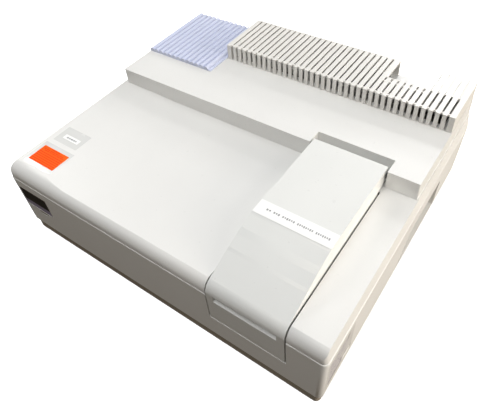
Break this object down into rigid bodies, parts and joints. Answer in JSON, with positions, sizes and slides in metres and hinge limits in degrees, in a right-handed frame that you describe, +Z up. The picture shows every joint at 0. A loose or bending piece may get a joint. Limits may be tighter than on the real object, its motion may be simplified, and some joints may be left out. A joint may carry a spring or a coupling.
{
  "type": "spectrophotometer",
  "caption": "Bench-top double-beam spectrophotometer with a hinged sample compartment lid, ribbed lamp cover and rear vent grille.",
  "frame": {"origin": "centre of the footprint on the bench top", "axes": "+X to the user's right along the width, +Y away from the user, +Z up; the user stands at -Y"},
  "size_m": [0.658, 0.56, 0.233],
  "materials": {
    "cover_plastic": "satin moulded, near white",
    "lid_plastic": "fine texture, near white",
    "grille_plastic": "satin moulded, cream white",
    "blue_plastic": "satin moulded, lavender blue",
    "tray_paint": "textured paint, grey brown",
    "black_plastic": "moulded, fine texture",
    "black_gloss": "polished",
    "badge_violet": "satin",
    "rubber": "matt",
    "label_stock": "printed film",
    "black_anodised": "black anodised",
    "bench_aluminium": "cast and machined",
    "steel": "bright",
    "panel_metal": "fine textured paint",
    "bronze": "sintered",
    "quartz": "polished",
    "filter_glass": "coloured glass",
    "mirror_coating": "front coated",
    "ceramic": "glazed ceramic",
    "board_green": "solder mask",
    "component_black": "moulded",
    "ribbon_grey": "flat cable"
  },
  "bodies": {
    "instrument": {"top_cover": "cover_plastic", "lower_housing": "cover_plastic", "vent_grille": "grille_plastic", "base_tray": "tray_paint", "sample_tub": "black_plastic", "power_inlet": "black_plastic", "switch_frame": "black_plastic", "fan_frame": "black_plastic", "stepper_actuator": "black_plastic", "hinge_bushes": "black_plastic", "front_badge": "black_gloss", "status_window": "black_gloss", "badge_band": "badge_violet", "rubber_feet": "rubber", "bench_isolators": "rubber", "labels": "label_stock", "cell_holder_base": "black_anodised", "sample_cell_holder": "black_anodised", "reference_cell_holder": "black_anodised", "monochromator_housing": "black_anodised", "monochromator_cover": "black_anodised", "slit_plates": "black_anodised", "lamp_housing": "black_anodised", "detector_housing": "black_anodised", "optical_bench": "bench_aluminium", "mirror_mounts": "bench_aluminium", "motor_brackets": "bench_aluminium", "housing_screws": "steel", "holder_thumbscrews": "steel", "interface_ports": "steel", "optics_motors": "steel", "rear_panel": "panel_metal", "power_supply": "panel_metal", "grating_bearing": "bronze", "quartz_windows": "quartz", "lamp_bulbs": "quartz", "optical_mirrors": "mirror_coating", "lamp_bases": "ceramic", "circuit_boards": "board_green", "board_components": "component_black", "detectors": "component_black", "ribbon_cable": "ribbon_grey"},
    "lid": {"lid_shell": "lid_plastic", "lid_liner": "black_plastic", "lid_hinge_pins": "steel", "lid_seal": "rubber", "lid_label": "label_stock"},
    "lamp_cover": {"lamp_cover": "blue_plastic"},
    "sample_cell": {"sample_cell": "quartz"},
    "reference_cell": {"reference_cell": "quartz"},
    "grating_table": {"grating_mount": "bench_aluminium", "diffraction_grating": "mirror_coating"},
    "push_rod": {"push_rod": "steel"},
    "filter_wheel": {"filter_wheel": "black_anodised", "optical_filters": "filter_glass"},
    "chopper_wheel": {"chopper_wheel": "black_anodised"},
    "lamp_mirror": {"lamp_mirror": "mirror_coating"},
    "fan_impeller": {"fan_impeller": "black_plastic"},
    "fuse_drawer": {"fuse_drawer": "black_plastic"},
    "power_switch": {"power_switch": "black_gloss"}
  },
  "joints": [
    {"name": "lid_hinge", "type": "hinge", "parent": "instrument", "child": "lid", "pos_m": [0.1943, 0.03, 0.188], "axis": [-1, 0, 0], "range_deg": [0, 78]},
    {"name": "lamp_cover_lift", "type": "slide", "parent": "instrument", "child": "lamp_cover", "axis": [0, 0, 1], "range_m": [0, 0.06]},
    {"name": "sample_cell_lift", "type": "slide", "parent": "instrument", "child": "sample_cell", "axis": [0, 0, 1], "range_m": [0, 0.032]},
    {"name": "reference_cell_lift", "type": "slide", "parent": "instrument", "child": "reference_cell", "axis": [0, 0, 1], "range_m": [0, 0.032]},
    {"name": "grating_turn", "type": "hinge", "parent": "instrument", "child": "grating_table", "pos_m": [-0.125, -0.075, 0.09], "axis": [0, 0, 1], "range_deg": [-12, 12]},
    {"name": "push_rod_slide", "type": "slide", "parent": "instrument", "child": "push_rod", "axis": [0, 1, 0], "range_m": [-0.0085, 0.0085]},
    {"name": "filter_wheel_spin", "type": "hinge", "parent": "instrument", "child": "filter_wheel", "pos_m": [-0.192, 0.118, 0.095], "axis": [0, 1, 0], "continuous": true},
    {"name": "chopper_spin", "type": "hinge", "parent": "instrument", "child": "chopper_wheel", "pos_m": [0.012, 0.032, 0.095], "axis": [1, 0, 0], "continuous": true},
    {"name": "lamp_mirror_turn", "type": "hinge", "parent": "instrument", "child": "lamp_mirror", "pos_m": [-0.214, 0.186, 0.095], "axis": [0, 0, 1], "range_deg": [0, 90]},
    {"name": "fan_spin", "type": "hinge", "parent": "instrument", "child": "fan_impeller", "pos_m": [-0.08, 0.26, 0.085], "axis": [0, 1, 0], "continuous": true},
    {"name": "fuse_drawer_slide", "type": "slide", "parent": "instrument", "child": "fuse_drawer", "axis": [0, 1, 0], "range_m": [0, 0.018]},
    {"name": "power_switch_rock", "type": "hinge", "parent": "instrument", "child": "power_switch", "pos_m": [0.196, 0.27, 0.084], "axis": [-1, 0, 0], "range_deg": [0, 16]}
  ],
  "couplings": [
    {"joint": "push_rod_slide", "follows": "grating_turn", "m_per_rad": 0.04}
  ]
}
